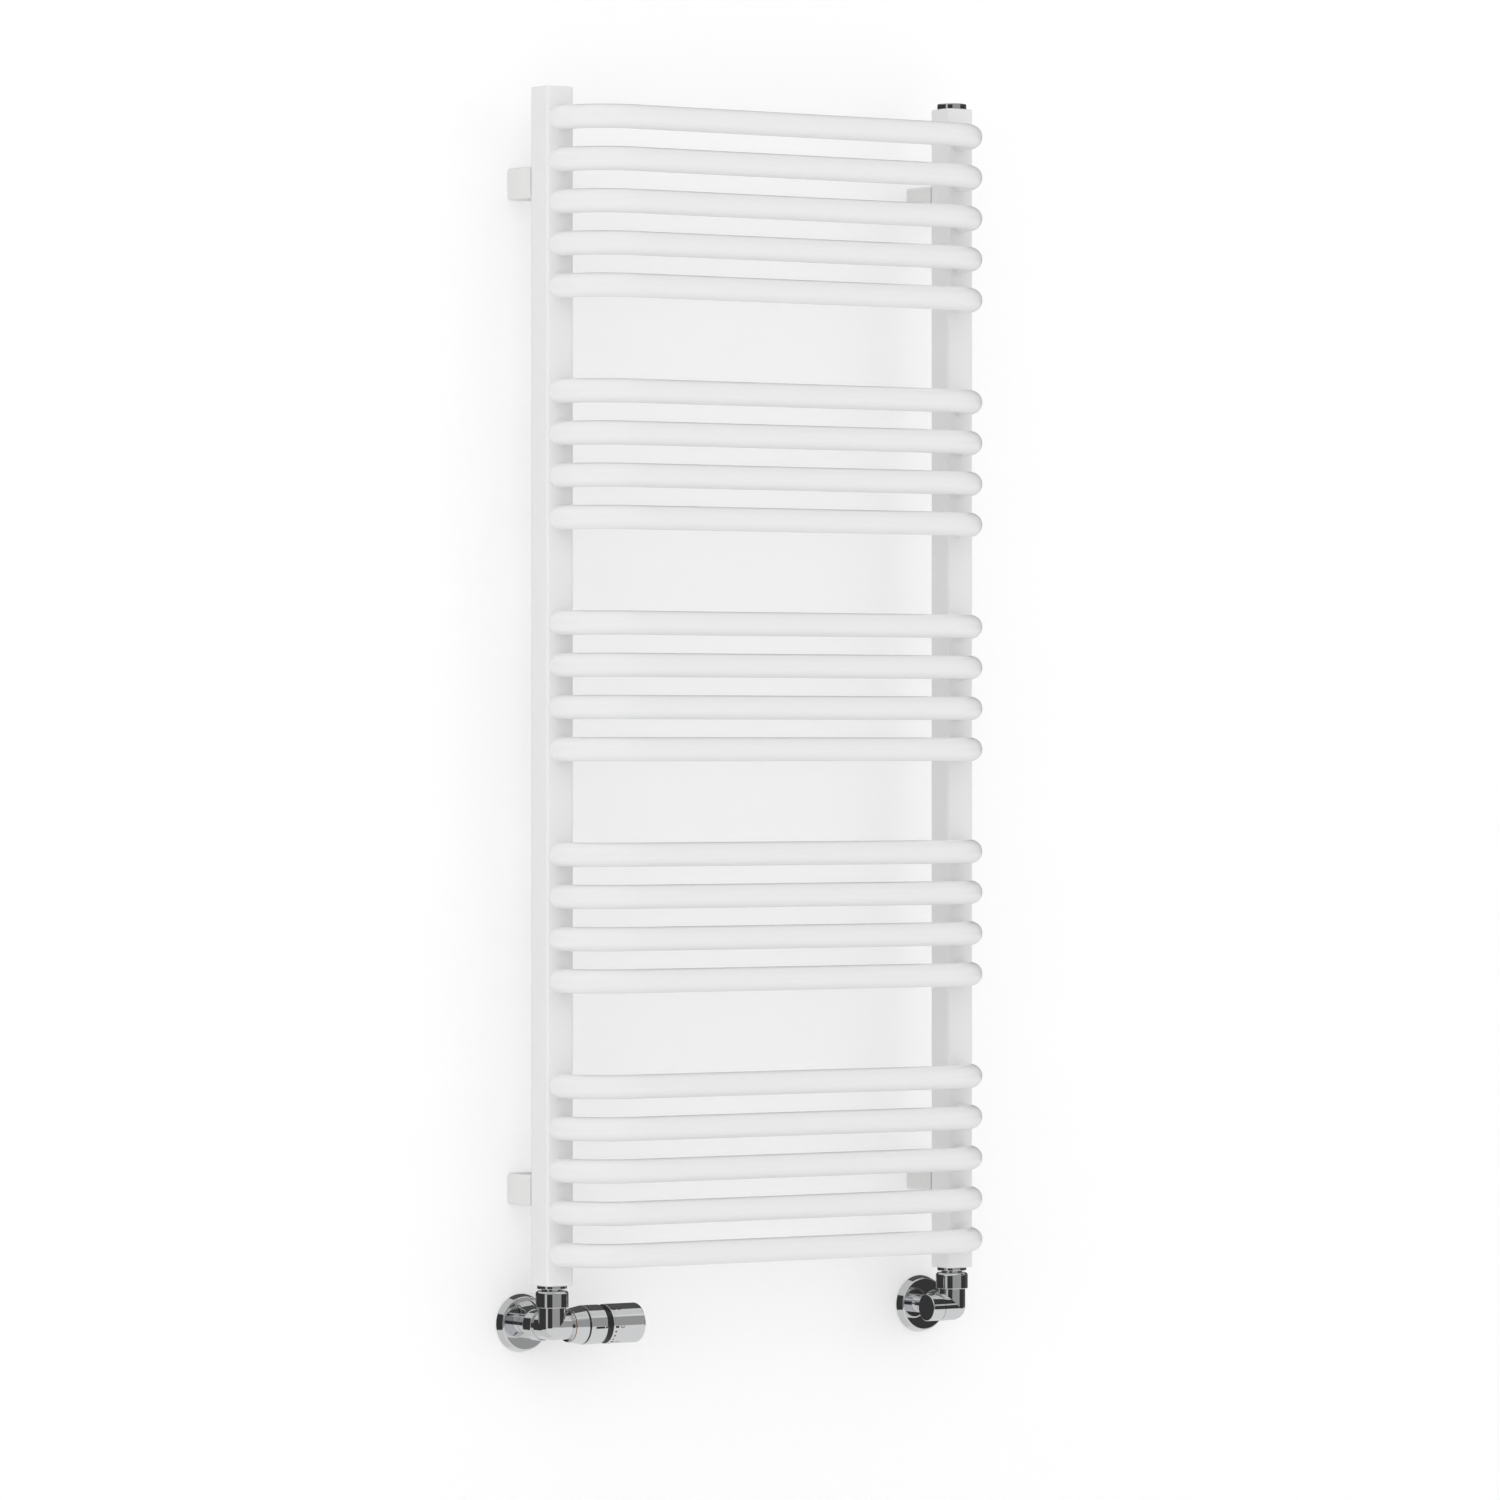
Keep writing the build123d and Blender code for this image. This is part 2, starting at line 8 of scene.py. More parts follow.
# %% Load the frame
import json
import math
import bmesh
import bpy
import numpy as np
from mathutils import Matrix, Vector


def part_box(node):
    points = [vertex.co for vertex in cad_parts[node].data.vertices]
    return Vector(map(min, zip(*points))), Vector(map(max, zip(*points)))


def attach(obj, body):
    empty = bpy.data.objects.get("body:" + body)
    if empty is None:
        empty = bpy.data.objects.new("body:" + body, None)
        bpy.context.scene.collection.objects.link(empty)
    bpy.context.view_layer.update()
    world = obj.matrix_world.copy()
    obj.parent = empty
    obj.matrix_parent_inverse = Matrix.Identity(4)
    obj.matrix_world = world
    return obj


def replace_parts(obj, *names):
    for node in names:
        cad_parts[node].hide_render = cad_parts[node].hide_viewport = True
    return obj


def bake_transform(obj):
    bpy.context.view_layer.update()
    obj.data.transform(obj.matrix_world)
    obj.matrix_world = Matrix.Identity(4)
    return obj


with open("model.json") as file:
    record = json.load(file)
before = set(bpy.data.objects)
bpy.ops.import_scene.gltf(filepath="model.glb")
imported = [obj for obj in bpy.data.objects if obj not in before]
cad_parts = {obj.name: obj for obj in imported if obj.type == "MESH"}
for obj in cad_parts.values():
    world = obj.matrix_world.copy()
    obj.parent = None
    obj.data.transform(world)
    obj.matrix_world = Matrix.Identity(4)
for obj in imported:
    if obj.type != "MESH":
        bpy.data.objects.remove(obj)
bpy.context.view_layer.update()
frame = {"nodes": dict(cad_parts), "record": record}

# %% [markdown]
# ## Camera
# A level camera stands left of the object and far away, with a long lens. Its place came from
# fitting the straight edges of the uprights and the tube pitch, so the camera carries no tilt and
# no shift: a level camera keeps the uprights parallel in the picture.

# %% Camera
view_angle = math.radians(34.537)
lens_pixels = 7845.0
picture_pixels = 1500
sensor_mm = 36.0
camera_data = bpy.data.cameras.new("camera")
camera_data.sensor_width = sensor_mm
camera_data.lens = lens_pixels / picture_pixels * sensor_mm
camera_data.clip_end = 100.0
camera = bpy.data.objects.new("camera", camera_data)
camera.location = (-4.3110, -6.3096, -0.0607)
camera.rotation_euler = (math.pi / 2, 0, -view_angle)
bpy.context.scene.collection.objects.link(camera)
bpy.context.scene.camera = camera
print("lens", round(camera_data.lens, 2), "mm")

# %% [markdown]
# ## Finishes
# Enamel is a thick glossy coat over steel: almost even in colour, with a faint orange-peel ripple
# that only shows in reflections. Chrome is a mirror whose roughness drifts a little where hands
# touch it. Each finish is a Principled shader, and noise on Object coordinates drives its roughness
# and bump, so the pattern keeps its real size on every piece.


# %% A finish from one shader and noise
coat_roughness = 0.06
cloud_grain = 28.0
cloud_low, cloud_high = 0.3, 0.7
ripple_depth = 0.0002


def finish(name, colour, metallic, rough, ripple, grain, coat=0.0, stretch=(1, 1, 1), tint=0.03):
    """A Principled finish. Roughness runs linearly between two values and colour between two close
    tints as a slow cloud noise runs from low to high; a second noise of the given grain (cycles per
    metre) is the height of the bump."""
    material = bpy.data.materials.new(name)
    material.use_nodes = True
    nodes, links = material.node_tree.nodes, material.node_tree.links
    shader = nodes["Principled BSDF"]
    shader.inputs["Metallic"].default_value = metallic
    shader.inputs["Coat Weight"].default_value = coat
    shader.inputs["Coat Roughness"].default_value = coat_roughness
    place = nodes.new("ShaderNodeTexCoord")
    mapping = nodes.new("ShaderNodeMapping")
    mapping.inputs["Scale"].default_value = stretch
    noise = nodes.new("ShaderNodeTexNoise")
    noise.inputs["Scale"].default_value = grain
    noise.inputs["Detail"].default_value = 3.0
    cloud = nodes.new("ShaderNodeTexNoise")
    cloud.inputs["Scale"].default_value = cloud_grain
    cloud.inputs["Detail"].default_value = 2.0
    links.new(place.outputs["Object"], mapping.inputs["Vector"])
    links.new(mapping.outputs["Vector"], noise.inputs["Vector"])
    links.new(place.outputs["Object"], cloud.inputs["Vector"])
    spread = nodes.new("ShaderNodeMapRange")
    spread.inputs["From Min"].default_value = cloud_low
    spread.inputs["From Max"].default_value = cloud_high
    spread.inputs["To Min"].default_value = rough[0]
    spread.inputs["To Max"].default_value = rough[1]
    links.new(cloud.outputs["Fac"], spread.inputs["Value"])
    links.new(spread.outputs["Result"], shader.inputs["Roughness"])
    ramp = nodes.new("ShaderNodeValToRGB")
    ramp.color_ramp.elements[0].position = cloud_low
    ramp.color_ramp.elements[1].position = cloud_high
    ramp.color_ramp.elements[0].color = (*[c * (1 - tint) for c in colour], 1)
    ramp.color_ramp.elements[1].color = (*colour, 1)
    links.new(cloud.outputs["Fac"], ramp.inputs["Fac"])
    links.new(ramp.outputs["Color"], shader.inputs["Base Color"])
    bump = nodes.new("ShaderNodeBump")
    bump.inputs["Strength"].default_value = ripple
    bump.inputs["Distance"].default_value = ripple_depth
    links.new(noise.outputs["Fac"], bump.inputs["Height"])
    links.new(bump.outputs["Normal"], shader.inputs["Normal"])
    return material


finishes = {
    "white_enamel": finish("white_enamel", (0.835, 0.84, 0.835), 0, (0.29, 0.33), 0.02, 420, 0.3,
                           tint=0.003),
    "white_plastic": finish("white_plastic", (0.79, 0.79, 0.785), 0, (0.38, 0.46), 0.10, 1500,
                            tint=0.015),
    "chrome": finish("chrome", (0.86, 0.865, 0.875), 1, (0.02, 0.035), 0.0015, 600, tint=0.02),
    "brass": finish("brass", (0.42, 0.26, 0.15), 1, (0.26, 0.38), 0.15, 900, tint=0.10),
    "black_plastic": finish("black_plastic", (0.018, 0.018, 0.019), 0, (0.38, 0.5), 0.2, 2600,
                            tint=0.2),
    "rubber": finish("rubber", (0.025, 0.025, 0.025), 0, (0.6, 0.75), 0.25, 1800, tint=0.2),
    "steel": finish("steel", (0.58, 0.58, 0.59), 1, (0.25, 0.38), 0.15, 700, stretch=(1, 1, 6),
                    tint=0.1),
    "dial_ink": finish("dial_ink", (0.012, 0.012, 0.012), 0, (0.45, 0.55), 0.05, 1500, tint=0.2),
}
slot_of = {s["node"]: s["material_slot"] for s in frame["record"]["subparts"]}
for name, node in frame["nodes"].items():
    node.data.materials.clear()
    node.data.materials.append(finishes[slot_of[name]])
print("finishes", len(finishes), "on", len(slot_of), "nodes")

# %% [markdown]
# ## From arrays to a mesh
# Every new surface here is a grid: rows are steps along a path, columns are steps around it. One
# helper turns such a grid into a mesh. It always closes the grid around the path, joins the last row
# to the first where asked, merges the points that meet at a pole, and marks edges sharper than
# 35 degrees, so turned edges stay crisp.


# %% Grid to object
merge_distance = 1e-7
crease_angle = math.radians(35)


def grid_object(name, points, slot_name, body, close_rows=False):
    """points has shape (rows, columns, 3) in metres. Each cell joins point (i, j) to (i, j+1),
    (i+1, j+1) and (i+1, j), with j wrapped, and i too where the rows are closed."""
    rows, columns, _ = points.shape
    i = np.arange(rows if close_rows else rows - 1)[:, None]
    j = np.arange(columns)[None, :]
    i2, j2 = (i + 1) % rows, (j + 1) % columns
    quads = np.stack(np.broadcast_arrays(
        i * columns + j, i * columns + j2, i2 * columns + j2, i2 * columns + j), axis=-1)
    mesh = bpy.data.meshes.new(name)
    mesh.from_pydata(points.reshape(-1, 3).tolist(), [], quads.reshape(-1, 4).tolist())
    tidy = bmesh.new()
    tidy.from_mesh(mesh)
    bmesh.ops.remove_doubles(tidy, verts=tidy.verts, dist=merge_distance)
    bmesh.ops.recalc_face_normals(tidy, faces=tidy.faces)
    tidy.to_mesh(mesh)
    tidy.free()
    mesh.polygons.foreach_set("use_smooth", np.ones(len(mesh.polygons), dtype=bool))
    mesh.set_sharp_from_angle(angle=crease_angle)
    mesh.materials.append(finishes[slot_name])
    piece = bpy.data.objects.new(name, mesh)
    bpy.context.scene.collection.objects.link(piece)
    if body:
        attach(piece, body)
    return piece


print("grid helper ready")

# %% [markdown]
# ## Crossbars
# Each rung of the ladder is one steel tube, bent forward at both ends and welded to the front faces
# of the uprights. The weld is a small fillet, about a millimetre, under the enamel. A bevelled curve
# would give the tube but not the weld, so the tube is a circle carried along its path, and the
# circle's radius swells over the last 1.6 mm.

# %% Sweep the crossbars
side = 0.235
upright_front = -0.070
bend = 0.050
tube_radius = 0.0115
weld_width = 0.0011
weld_length = 0.0016


def crossbar_surface(height, around=56):
    """A circle carried along quarter arc, straight run, quarter arc in a level plane. At arc length
    s from the nearer end the radius is r plus 1.1 mm times (1 - s / 1.6 mm) squared while that is
    positive. A last point of zero radius closes each end."""
    turn = np.linspace(0, math.pi / 2, 26)
    lead = np.concatenate([np.linspace(0, weld_length, 7)[:-1] / bend, turn[1:]])
    arc_x = -side + bend * (1 - np.cos(lead))
    arc_y = upright_front - bend * np.sin(lead)
    run = np.linspace(arc_x[-1], -arc_x[-1], 13)[1:-1]
    x = np.concatenate([arc_x, run, -arc_x[::-1]])
    y = np.concatenate([arc_y, np.full(run.size, arc_y[-1]), arc_y[::-1]])
    heading = np.concatenate([lead - math.pi / 2, np.zeros(run.size), (math.pi / 2 - lead)[::-1]])
    s = np.concatenate([lead * bend, np.full(run.size, 1.0), (lead * bend)[::-1]])
    swell = weld_width * np.clip(1 - s / weld_length, 0, None) ** 2
    x, y, heading, radius = (np.concatenate([v[:1], v, v[-1:]])
                             for v in (x, y, heading, tube_radius + swell))
    radius[[0, -1]] = 0.0
    phi = np.linspace(0, 2 * math.pi, around, endpoint=False)[None, :]
    across = radius[:, None] * np.cos(phi)
    return np.stack([
        x[:, None] - across * np.sin(heading)[:, None],
        y[:, None] + across * np.cos(heading)[:, None],
        height + radius[:, None] * np.sin(phi) + 0 * x[:, None]], axis=-1)


bars = sorted(n for n in slot_of if n.startswith("crossbar_"))
for bar in bars:
    low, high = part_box(bar)
    surface = crossbar_surface((low[2] + high[2]) / 2)
    tube = grid_object(bar + "_tube", surface, "white_enamel", "radiator")
    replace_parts(tube, bar)
print("crossbars", len(bars), "bend radius", bend)

# %% [markdown]
# ## Turned fittings
# Nuts, rosettes, the collar, the marker ring, the knob and the caps all come off a lathe, so each is
# an outline spun about an axis. The outline's corners carry their own small radii: polished chrome
# shows every edge as a thin bright line, and a sharp corner would have none.


# %% Spin an outline with rounded corners
def rounded(corners, steps=7):
    """Corners are (distance, radius from the axis, rounding) in millimetres, in a closed loop. Each
    rounded corner becomes a circular arc tangent to both sides: the tangent points lie at rounding
    over tan(half the corner's angle) from the corner, and the arc is sampled evenly in angle."""
    corners = np.array(corners, float)
    outline = []
    for here, before, after in zip(corners, np.roll(corners, 1, 0), np.roll(corners, -1, 0)):
        p, radius = here[:2], here[2]
        if radius == 0:
            outline.append(p[None])
            continue
        a, b = before[:2] - p, after[:2] - p
        a, b = a / np.linalg.norm(a), b / np.linalg.norm(b)
        half = math.acos(np.clip(a @ b, -1, 1)) / 2
        middle = p + (a + b) / np.linalg.norm(a + b) * radius / math.sin(half)
        start, end = p + a * radius / math.tan(half), p + b * radius / math.tan(half)
        t = np.linspace(0, 1, steps)[:, None]
        swing = math.pi - 2 * half
        arc = np.sin((1 - t) * swing) * (start - middle) + np.sin(t * swing) * (end - middle)
        outline.append(middle + arc / math.sin(swing))
    return np.concatenate(outline) / 1000


def held(outline, hold=0.00015, shortest=0.001):
    """On every straight run longer than a millimetre, two more points stand 0.15 mm from its ends.
    The shading normal turns only between an end and its holding point, so flats mirror as flats."""
    points = []
    for p, q in zip(outline, np.roll(outline, -1, 0)):
        run = np.linalg.norm(q - p)
        long_run = run > shortest and max(p[1], q[1]) > 0
        points += [p, p + (q - p) * hold / run, q - (q - p) * hold / run] if long_run else [p]
    return np.array(points)


def spun(origin, along, corners, around=112):
    """The rounded outline, spun about the axis through origin: a point at distance d and radius r
    goes to origin + d times along + r times (u cos a + v sin a), for a all the way round."""
    outline = held(rounded(corners))
    along = np.array(along, float)
    u = np.array([0.0, 1.0, 0.0]) if abs(along[1]) < 0.5 else np.array([1.0, 0.0, 0.0])
    v = np.cross(along, u)
    a = np.linspace(0, 2 * math.pi, around, endpoint=False)
    ring = np.cos(a)[:, None] * u + np.sin(a)[:, None] * v
    return np.array(origin) + outline[:, None, :1] * along + outline[:, None, 1:] * ring[None]


def turned_piece(name, origin, along, corners, slot_name, body):
    """One spun outline as an object on its body. An outline that reaches the axis stays open."""
    solid = min(c[1] for c in corners) == 0
    return grid_object(name, spun(origin, along, corners), slot_name, body, close_rows=not solid)


RIGHT, LEFT, BACK, UP = (1, 0, 0), (-1, 0, 0), (0, 1, 0), (0, 0, 1)
supply = (-side, -0.055, -0.609)
outlet = (side, -0.055, -0.609)
print("valve axes at", supply, outlet)

# %% [markdown]
# ## Unions and wall fittings
# Above each valve a tail with a thin collar screws into the upright, and a smooth round nut with a
# well rounded shoulder draws the valve up to it. Towards the wall there is a round clamp nut, a pipe
# sleeve and a loose rosette whose flat polished face mirrors the nut.

# %% Unions, clamp nuts, sleeves and rosettes
nut = [(18, 12.05, 0), (18, 15.7, 0.6), (34, 15.7, 3), (34, 10.3, 0.3), (30.4, 10.3, 0),
       (30.4, 12.05, 0)]
tail = [(26.8, 6.5, 0), (26.8, 11.7, 0), (30.4, 11.7, 0), (30.4, 10, 0), (35.7, 10, 0),
        (35.7, 14.25, 0.6), (39, 14.25, 0.6), (39, 10.2, 0), (51, 10.2, 0), (51, 6.5, 0)]
clamp = [(15.2, 11.05, 0), (15.2, 15, 0.7), (30, 15, 1.6), (30, 7.6, 0), (28, 7.6, 0), (28, 11.05, 0)]
pipe_sleeve = [(30, 7.6, 0), (30, 9, 0), (55, 9, 0), (55, 7.6, 0)]
rosette = [(46, 9.05, 0.3), (46, 25.9, 1.6), (55, 28, 0.25), (55, 26.5, 0), (47.6, 24.2, 0),
           (47.6, 11, 0), (54, 11, 0), (54, 9.05, 0)]
for end, origin in (("supply", supply), ("return", outlet)):
    for name, along, outline in (("union_nut", UP, nut), ("union_tail", UP, tail),
                                 ("clamp_nut", BACK, clamp), ("pipe_sleeve", BACK, pipe_sleeve)):
        piece = turned_piece(f"{end}_{name}", origin, along, outline, "chrome", "radiator")
        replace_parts(piece, name + "s")
    disc = turned_piece(end + "_rosette_disc", origin, BACK, rosette, "chrome", end + "_cover")
    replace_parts(disc, end + "_rosette")
print("rosette", 2 * max(r for _, r, _ in rosette), "mm across")

# %% [markdown]
# ## Thermostatic head
# From the valve outwards: a plated flange with a thin bare brass edge, a cone-shaped chrome collar, a
# thin black gap, a fixed chrome ring with the index mark, a black band, and the knob that turns. The
# knob's end has a small round edge, where the light strip of the reflection ends.

# %% Flange, thread edge, collar, marker ring and knob
flange = [(16.4, 11, 0), (16.4, 15.8, 0.3), (17.5, 15.8, 0), (17.5, 11, 0)]
thread_edge = [(17.5, 11, 0), (17.5, 16, 0.2), (18.2, 16, 0.2), (18.2, 14.4, 0), (25, 14.4, 0),
               (25, 11, 0)]
collar = [(18.4, 14.45, 0), (18.4, 16, 0.4), (32, 18.5, 0.7), (32, 12.3, 0), (27.3, 12.3, 0),
          (27.3, 14.45, 0)]
marker = [(33.5, 17.25, 0), (33.5, 18.75, 0.5), (52, 18.75, 0.5), (52, 17.25, 0)]
knob = [(92, 0, 0), (92, 10.05, 0), (75, 10.05, 0), (75, 12, 0), (92, 12, 0), (92, 17, 0),
        (63.3, 17, 0), (63.3, 13.55, 0), (58.3, 13.55, 0), (58.3, 19, 0.5), (95, 19, 1.4), (95, 0, 0)]
plated = turned_piece("head_adapter_flange", supply, RIGHT, flange, "chrome", "radiator")
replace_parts(plated, "head_adapter")
for name, outline, slot_name, body in (("head_adapter", thread_edge, "brass", "radiator"),
                                       ("head_collar", collar, "chrome", "radiator"),
                                       ("marker_ring", marker, "chrome", "radiator"),
                                       ("thermostat_knob", knob, "chrome", "dial")):
    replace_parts(turned_piece(name + "_turned", supply, RIGHT, outline, slot_name, body), name)
print("head reaches", max(d for d, _, _ in knob), "mm from the valve axis")

# %% [markdown]
# ## Spring in the valve insert
# Inside the insert a small spring pushes the spindle open. One end rests on the insert and the other
# moves with the spindle, so its coils have to close up. Here the coil is one fixed steel piece on
# neither body.

# %% Coil the spring
def coil_surface(start, end, radius, wire, turns=3, rows=180, around=14):
    """A circle of the wire's radius carried along a helix about X. At t from 0 to 1 the centre is at
    start + t (end - start), radius away from the axis at the angle 2 pi turns t. The circle stands
    across the helix: one axis is radial, the other is the tangent crossed with it."""
    t = np.linspace(0, 1, rows)
    a = 2 * math.pi * turns * t
    radial = np.stack([0 * a, np.cos(a), np.sin(a)], -1)
    tangent = np.stack([np.full(rows, end - start), -radius * 2 * math.pi * turns * np.sin(a),
                        radius * 2 * math.pi * turns * np.cos(a)], -1)
    tangent /= np.linalg.norm(tangent, axis=1)[:, None]
    across = np.cross(tangent, radial)
    centre = np.array([0, *supply[1:]]) + radius * radial
    centre[:, 0] += start + t * (end - start)
    thick = np.concatenate([[0], np.full(rows, wire), [0]])[:, None, None]
    centre, radial, across = (np.concatenate([v[:1], v, v[-1:]])[:, None]
                              for v in (centre, radial, across))
    phi = np.linspace(0, 2 * math.pi, around, endpoint=False)[None, :, None]
    return centre + thick * (np.cos(phi) * radial + np.sin(phi) * across)


wire, coil_radius = 0.0003, 0.0036
spring_low, spring_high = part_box("spindle_spring")
spring_ends = float(spring_low[0]) + wire, float(spring_high[0]) - wire
coils = coil_surface(*spring_ends, coil_radius, wire)
coil = grid_object("spindle_spring_coil", coils, "steel", None)
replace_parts(coil, "spindle_spring")
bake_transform(coil)
print("spring", round(1000 * (spring_ends[1] - spring_ends[0]), 2), "mm between end coils")

# %% [markdown]
# ## Lockshield cap and air vent
# The return valve hides its regulating spindle under a plain pull-off cap. On top of the right
# upright a flanged plug holds the bleed screw in a small recess.

# %% Cap and vent plug
cap = [(28.5, 0, 0), (28.5, 10.95, 0), (16.6, 10.95, 0), (16.6, 13.2, 0.35), (31, 13.2, 0.9),
       (31, 0, 0)]
cover = turned_piece("lockshield_cap_turned", outlet, LEFT, cap, "chrome", "shield_cap")
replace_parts(cover, "lockshield_cap")
plug = [(-12, 2.55, 0), (-12, 10.2, 0), (1.5, 10.2, 0), (1.5, 12.7, 0), (0, 12.7, 0), (0, 14.3, 0.4),
        (5.4, 14.3, 1), (5.4, 4.3, 0.3), (2.4, 4.3, 0), (2.4, 2.55, 0)]
vent = turned_piece("vent_plug_turned", (side, -0.055, 0.570), UP, plug, "chrome", "radiator")
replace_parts(vent, "vent_plug")
print("vent flange", 2 * max(r for _, r, _ in plug), "mm across")

# %% [markdown]
# ## Scale on the head
# The knob turns 280 degrees from 0 to 5, so numbers stand 56 degrees apart, each with a dash, and
# three dots fill each gap below 3. At rest the index, six degrees below the front, points at 3. Ink
# on metal has no thickness worth seeing: each mark is a patch bent round the cylinder 0.03 mm above
# it.

# %% Bend flat patches round the head
def wrapped(flat, along_mm, beta_deg, radius_mm):
    """flat holds (x, y) in millimetres, x along the head's axis and y upwards round it. A point goes
    to distance along + x on the axis, at the angle beta - y / radius below the front."""
    beta = math.radians(beta_deg) - flat[:, 1] / radius_mm
    offset = np.stack([along_mm + flat[:, 0], -radius_mm * np.cos(beta), -radius_mm * np.sin(beta)],
                      axis=-1)
    return np.array(supply) + offset / 1000


def ink_patch(vertices, faces, name, body):
    """Loose ink marks as one object: the arrays go straight into the mesh."""
    mesh = bpy.data.meshes.new(name)
    mesh.from_pydata(vertices.tolist(), [], faces)
    mesh.materials.append(finishes["dial_ink"])
    piece = bpy.data.objects.new(name, mesh)
    bpy.context.scene.collection.objects.link(piece)
    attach(piece, body)
    return piece


def strip(length, width, cells=12):
    """A rectangle as two rows of points along its length, wound to face outwards."""
    x = np.linspace(-length / 2, length / 2, cells)
    points = np.concatenate([np.stack([x, np.full(cells, y)], -1) for y in (-width / 2, width / 2)])
    k = np.arange(cells - 1)
    return points, np.stack([k, k + 1, k + 1 + cells, k + cells], -1).tolist()


def dot(diameter, points=20):
    """A disc as one ring of points at equal angles."""
    a = np.linspace(0, 2 * math.pi, points, endpoint=False)
    return diameter / 2 * np.stack([np.cos(a), np.sin(a)], -1), [list(range(points))]


def numeral(digit, height=4.4, height_in_font=0.72):
    """A digit's filled outline from Blender's own font, as flat points and faces, centred and turned
    so that its top points to the free end of the knob. The font size is the height over the share
    of that size that a digit fills."""
    text = bpy.data.curves.new("numeral", "FONT")
    text.body, text.size = str(digit), height / height_in_font
    text.align_x, text.align_y = "CENTER", "CENTER"
    holder = bpy.data.objects.new("numeral", text)
    flat = bpy.data.meshes.new_from_object(holder)
    points = np.empty(len(flat.vertices) * 3)
    flat.vertices.foreach_get("co", points)
    points = points.reshape(-1, 3)[:, :2]
    faces = [list(p.vertices) for p in flat.polygons]
    bpy.data.objects.remove(holder)
    bpy.data.meshes.remove(flat)
    bpy.data.curves.remove(text)
    points = points - (points.min(0) + points.max(0)) / 2
    return np.stack([points[:, 1], -points[:, 0]], -1), faces


def gather(marks, radius_mm):
    """Bend every (flat, faces, distance, angle) mark into place and join their arrays."""
    vertices, faces, count = [], [], 0
    for flat, cells, along_mm, beta in marks:
        vertices.append(wrapped(flat, along_mm, beta, radius_mm))
        faces += [[k + count for k in cell] for cell in cells]
        count += len(flat)
    return np.concatenate(vertices), faces


index_angle, number_step, rest_number = 6.0, 56.0, 3
knob_ink_radius, ring_ink_radius = 19.03, 18.78
line_width = 1.9
dash_at, number_at, dots_at = 62.4, 68.4, 61.4
index_at, index_dot_at = 43.4, 50.3
knob_marks = []
for number in range(6):
    beta = index_angle - number_step * (number - rest_number)
    knob_marks += [(*strip(3.8, line_width), dash_at, beta), (*numeral(number), number_at, beta)]
    if number < rest_number:
        knob_marks += [(*dot(line_width), dots_at, beta - number_step * k / 4) for k in range(1, 4)]
ink_patch(*gather(knob_marks, knob_ink_radius), "dial_scale", "dial")
ring_marks = [(*strip(10.0, line_width), index_at, index_angle), (*dot(2.2), index_dot_at, index_angle)]
ink_patch(*gather(ring_marks, ring_ink_radius), "index_mark", "radiator")
print("scale marks", len(knob_marks), "index marks", len(ring_marks))

# %% [markdown]
# ## Wall, floor and light
# The radiator hangs on a pale wall and throws soft contact shadows on it. Wall and floor show on one
# side only, so views from behind or below look through them at the brackets. Chrome shows whatever
# stands round it, so mirror rays meet a dark studio with a few bright panels. All other light is
# even, with three soft lamps.

# %% Wall and floor
def stage_plane(name, corners, grey, glow):
    """Four corners as one face with a matt shader, plus a little light of its own to reach white.
    The back of the face is clear."""
    mesh = bpy.data.meshes.new(name)
    mesh.from_pydata(corners, [], [(0, 1, 2, 3)])
    material = bpy.data.materials.new(name)
    material.use_nodes = True
    nodes, links = material.node_tree.nodes, material.node_tree.links
    shader = nodes["Principled BSDF"]
    shader.inputs["Base Color"].default_value = (grey, grey, grey, 1)
    shader.inputs["Roughness"].default_value = 0.9
    shader.inputs["Specular IOR Level"].default_value = 0.1
    shader.inputs["Emission Color"].default_value = (1, 1, 1, 1)
    shader.inputs["Emission Strength"].default_value = glow
    clear, mix = nodes.new("ShaderNodeBsdfTransparent"), nodes.new("ShaderNodeMixShader")
    facing = nodes.new("ShaderNodeNewGeometry")
    links.new(facing.outputs["Backfacing"], mix.inputs["Fac"])
    links.new(shader.outputs["BSDF"], mix.inputs[1])
    links.new(clear.outputs["BSDF"], mix.inputs[2])
    links.new(mix.outputs["Shader"], nodes["Material Output"].inputs["Surface"])
    mesh.materials.append(material)
    plane = bpy.data.objects.new(name, mesh)
    bpy.context.scene.collection.objects.link(plane)
    return plane


reach, wall_gap, floor_level, wall_top = 6, 0.0006, -0.85, 4
floor_front, floor_back = -8, 6
wall = stage_plane("wall", [(-reach, wall_gap, floor_level), (reach, wall_gap, floor_level),
                            (reach, wall_gap, wall_top), (-reach, wall_gap, wall_top)], 0.72, 0.29)
floor = stage_plane("floor", [(-reach, floor_front, floor_level), (reach, floor_front, floor_level),
                              (reach, floor_back, floor_level), (-reach, floor_back, floor_level)],
                    0.82, 0.12)
wall.visible_glossy = floor.visible_glossy = False
print("wall and floor set")

# %% Lights
def soft_light(name, place, aim, size, power):
    """A square area light at a place, turned so that its -Z axis points at the aim."""
    data = bpy.data.lights.new(name, "AREA")
    data.size, data.energy = size, power
    lamp = bpy.data.objects.new(name, data)
    lamp.location = place
    lamp.rotation_euler = (Vector(aim) - Vector(place)).to_track_quat("-Z", "Y").to_euler()
    lamp.visible_glossy = False
    bpy.context.scene.collection.objects.link(lamp)


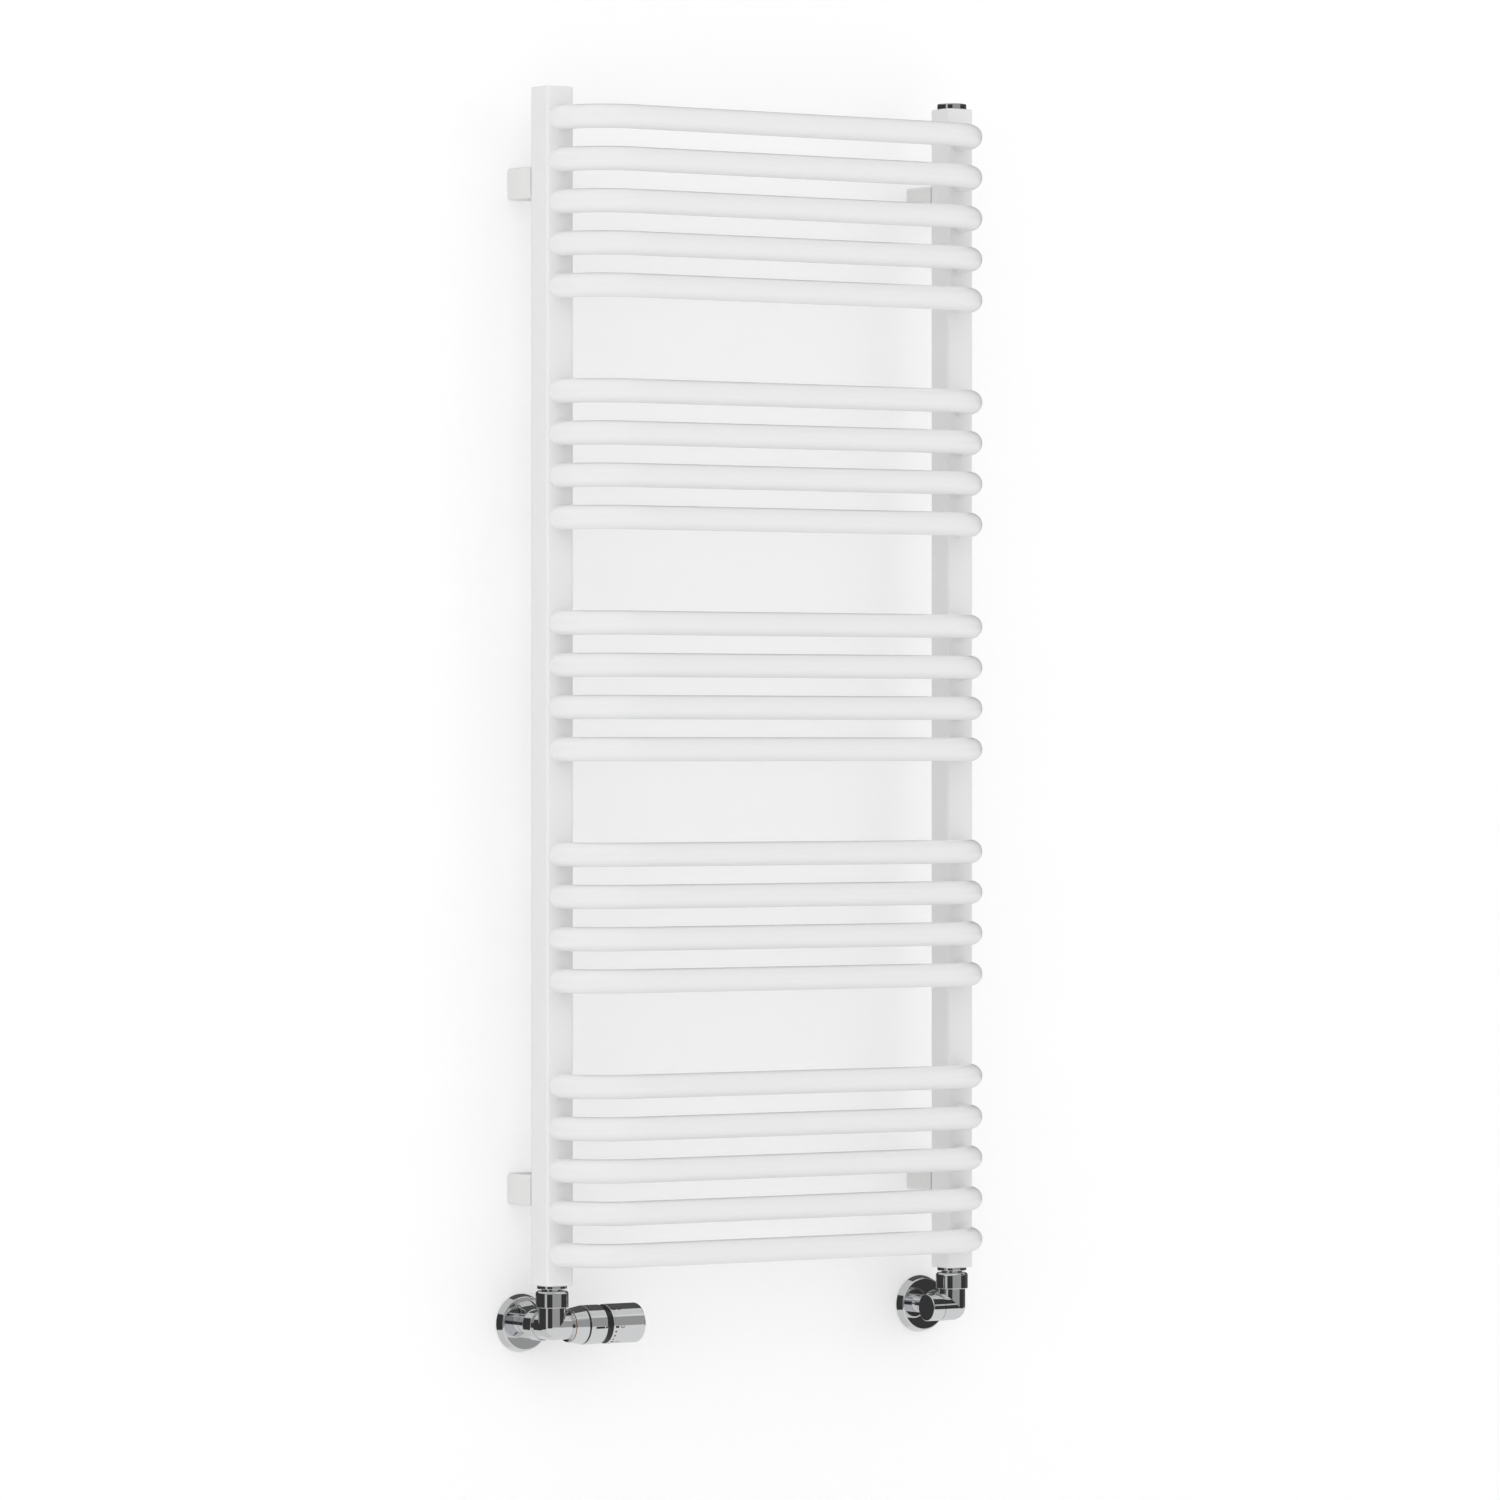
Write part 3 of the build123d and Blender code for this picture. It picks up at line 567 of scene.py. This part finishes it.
even_strength = 0.89
soft_light("key", (-1.6, -3.6, 3.0), (0, -0.06, 0.1), 2.6, 14)
soft_light("fill", (3.2, -3.4, 0.8), (0, -0.06, -0.1), 2.2, 13)
soft_light("side", (-3.4, -1.8, 0.1), (0, -0.06, 0), 1.6, 10)
world = bpy.data.worlds.new("studio")
bpy.context.scene.world = world
world.use_nodes = True
nodes, links = world.node_tree.nodes, world.node_tree.links
even = nodes["Background"]
even.inputs["Color"].default_value = (1, 1, 1, 1)
even.inputs["Strength"].default_value = even_strength
direction = nodes.new("ShaderNodeTexCoord")
split = nodes.new("ShaderNodeSeparateXYZ")
links.new(direction.outputs["Generated"], split.inputs["Vector"])


def panel_ramp(output, stops):
    """Greys at stops along one direction component, linear between them; -1..1 moves to 0..1."""
    shift = nodes.new("ShaderNodeMath")
    shift.operation = "MULTIPLY_ADD"
    shift.inputs[1].default_value = shift.inputs[2].default_value = 0.5
    ramp = nodes.new("ShaderNodeValToRGB")
    ramp.color_ramp.interpolation = "LINEAR"
    for k, (at, grey) in enumerate(stops):
        elements, place = ramp.color_ramp.elements, at / 2 + 0.5
        element = elements[k] if k < 2 else elements.new(place)
        element.position, element.color = place, (grey, grey, grey, 1)
    links.new(output, shift.inputs[0])
    links.new(shift.outputs["Value"], ramp.inputs["Fac"])
    return ramp.outputs["Color"]


def mixed(mask, first, second):
    """The first grey where the mask is 0 and the second where it is 1."""
    mix = nodes.new("ShaderNodeMix")
    mix.data_type = "RGBA"
    for plug, source in (("Factor", mask), ("A", first), ("B", second)):
        links.new(source, mix.inputs[plug])
    return mix.outputs["Result"]


x, y, z = (split.outputs[letter] for letter in "XYZ")
dark, floor_grey = 0.04, 0.69
pale = panel_ramp(z, [(-1, floor_grey), (1, 0.45), (-0.16, floor_grey), (-0.12, 0.32), (0.53, 0.32),
                      (0.56, 0.45)])
deep = panel_ramp(z, [(-1, floor_grey), (1, dark), (-0.21, floor_grey), (-0.18, dark), (0.22, dark),
                      (0.23, 0.5), (0.38, 0.5), (0.39, dark)])
front = mixed(panel_ramp(x, [(-1, 0), (1, 1), (0.568, 0), (0.573, 1)]), pale, deep)
level = panel_ramp(z, [(-1, 0), (1, 0), (-0.25, 0), (-0.23, 1), (0.16, 1), (0.18, 0)])
left_end = mixed(panel_ramp(x, [(-1, 1), (1, 0), (-0.51, 1), (-0.49, 0)]), front,
                 panel_ramp(x, [(-1, 0.5), (1, dark), (-0.94, 0.5), (-0.92, dark)]))
behind_left = panel_ramp(z, [(-1, 0.6), (1, 0.55), (-0.36, 0.6), (-0.33, dark), (0.40, dark),
                             (0.43, 0.55)])
behind_right = panel_ramp(z, [(-1, floor_grey), (1, 0.085), (-0.12, floor_grey), (-0.09, 0.085)])
behind = mixed(panel_ramp(x, [(-1, 0), (1, 1), (0.04, 0), (0.06, 1)]), behind_left, behind_right)
before = mixed(level, front, left_end)
room = mixed(panel_ramp(y, [(-1, 0), (1, 1), (-0.10, 0), (-0.08, 1)]), before, behind)
mirrored = nodes.new("ShaderNodeBackground")
links.new(room, mirrored.inputs["Color"])
path = nodes.new("ShaderNodeLightPath")
choose = nodes.new("ShaderNodeMixShader")
links.new(path.outputs["Is Glossy Ray"], choose.inputs["Fac"])
links.new(even.outputs["Background"], choose.inputs[1])
links.new(mirrored.outputs["Background"], choose.inputs[2])
links.new(choose.outputs["Shader"], nodes["World Output"].inputs["Surface"])
bpy.context.scene.view_settings.view_transform = "Standard"
print("studio lit")
